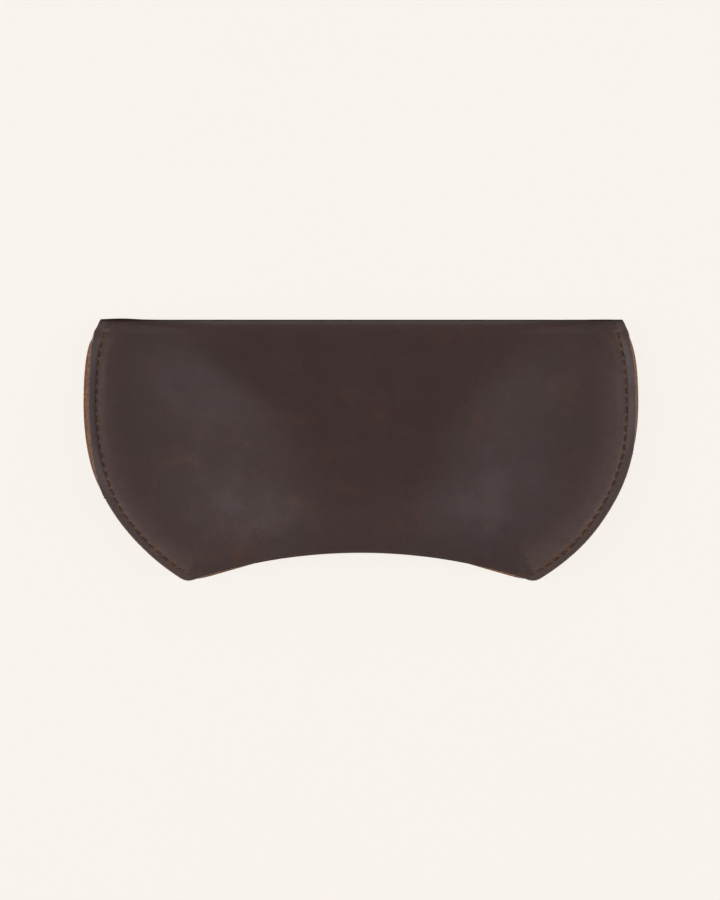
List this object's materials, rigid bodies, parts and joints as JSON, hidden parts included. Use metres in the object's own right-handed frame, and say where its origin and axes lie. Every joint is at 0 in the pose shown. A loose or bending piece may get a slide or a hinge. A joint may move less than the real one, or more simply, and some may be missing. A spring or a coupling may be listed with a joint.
{
  "type": "eyeglasses case",
  "caption": "Slip-in leather eyeglasses case, folded along its straight top, sewn along both curved sides and open at its hollow lower edge.",
  "frame": {"origin": "on the surface the case lies on, under the middle of its outline", "axes": "+X along the width of the case, to the right as seen facing the front panel; +Y from the mouth towards the fold; +Z out of the front panel, up from the surface"},
  "size_m": [0.1754, 0.0824, 0.0228],
  "materials": {
    "oiled_leather": "satin",
    "waxed_thread": "matte"
  },
  "bodies": {
    "root": {"front_panel": "oiled_leather", "back_panel": "oiled_leather", "top_fold": "oiled_leather", "left_needle_thread": "waxed_thread", "left_bobbin_thread": "waxed_thread", "right_needle_thread": "waxed_thread", "right_bobbin_thread": "waxed_thread"}
  },
  "joints": []
}
